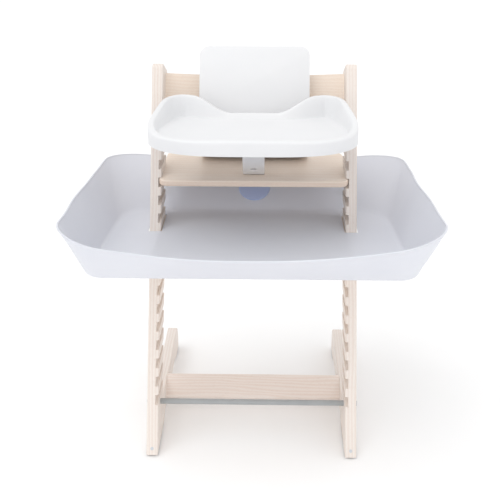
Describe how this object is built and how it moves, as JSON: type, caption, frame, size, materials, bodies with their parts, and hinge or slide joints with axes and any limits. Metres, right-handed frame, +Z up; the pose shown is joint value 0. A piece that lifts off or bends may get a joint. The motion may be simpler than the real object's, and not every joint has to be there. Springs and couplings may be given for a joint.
{
  "type": "baby high chair",
  "caption": "Slanted wooden high chair with grooved uprights, sliding seat and foot plates, white back shell, safety rail, lift-off tray and a wide flexible food-catching tub.",
  "frame": {"origin": "on the floor, middle of the bounding box", "axes": "+Z up, front of the chair (tray side) towards -Y, +X to the right seen from the front"},
  "size_m": [0.7338, 0.628, 0.827],
  "materials": {
    "beech": "white-washed beech, matt",
    "beech_plywood": "white-washed plywood, matt",
    "white_plastic": "satin white polypropylene",
    "button_plastic": "pale grey",
    "soft_plastic": "pale grey translucent flexible plastic",
    "disc_plastic": "periwinkle blue, matt",
    "rod_steel": "grey powder coat",
    "bolt_steel": "zinc plated",
    "rubber": "matt black"
  },
  "bodies": {
    "frame": {"back_laminate": "beech_plywood", "brace_barrel_nuts": "bolt_steel", "brace_bolts": "bolt_steel", "brace_washers": "bolt_steel", "catcher_tub": "soft_plastic", "centre_disc": "disc_plastic", "foot_plugs": "button_plastic", "front_glides": "rubber", "left_floor_runner": "beech", "left_upright": "beech", "lower_stretcher_rod": "rod_steel", "press_studs": "button_plastic", "rear_glides": "rubber", "right_floor_runner": "beech", "right_upright": "beech", "rod_bolts": "bolt_steel", "rod_washers": "bolt_steel", "runner_brace": "beech", "runner_dowels": "beech", "slit_tabs": "soft_plastic", "upper_stretcher_rod": "rod_steel"},
    "seat": {"seat_plate": "beech_plywood"},
    "footrest": {"foot_plate": "beech_plywood"},
    "backrest": {"back_shell": "white_plastic"},
    "rail": {"safety_rail": "white_plastic", "crotch_post": "white_plastic"},
    "left_button": {"left_rail_button": "button_plastic"},
    "right_button": {"right_rail_button": "button_plastic"},
    "tray_top": {"tray": "white_plastic"},
    "left_latch": {"left_tray_latch": "button_plastic"},
    "right_latch": {"right_tray_latch": "button_plastic"}
  },
  "joints": [
    {"name": "seat_slide", "type": "slide", "parent": "frame", "child": "seat", "axis": [0, -1, 0], "range_m": [-0.02, 0.08]},
    {"name": "foot_slide", "type": "slide", "parent": "frame", "child": "footrest", "axis": [0, -1, 0], "range_m": [-0.03, 0.05]},
    {"name": "back_lift", "type": "slide", "parent": "frame", "child": "backrest", "axis": [0, 0.4099, 0.9121], "range_m": [0, 0.022]},
    {"name": "rail_pull", "type": "slide", "parent": "backrest", "child": "rail", "axis": [0, -1, 0], "range_m": [0, 0.08]},
    {"name": "left_rail_release", "type": "slide", "parent": "rail", "child": "left_button", "axis": [1, 0, 0], "range_m": [0, 0.003], "stiffness_N_per_m": 900},
    {"name": "right_rail_release", "type": "slide", "parent": "rail", "child": "right_button", "axis": [-1, 0, 0], "range_m": [0, 0.003], "stiffness_N_per_m": 900},
    {"name": "tray_lift", "type": "slide", "parent": "rail", "child": "tray_top", "axis": [0, 0, 1], "range_m": [0, 0.06]},
    {"name": "left_latch_pull", "type": "slide", "parent": "tray_top", "child": "left_latch", "axis": [-1, 0, 0], "range_m": [0, 0.004], "stiffness_N_per_m": 900},
    {"name": "right_latch_pull", "type": "slide", "parent": "tray_top", "child": "right_latch", "axis": [1, 0, 0], "range_m": [0, 0.004], "stiffness_N_per_m": 900}
  ]
}
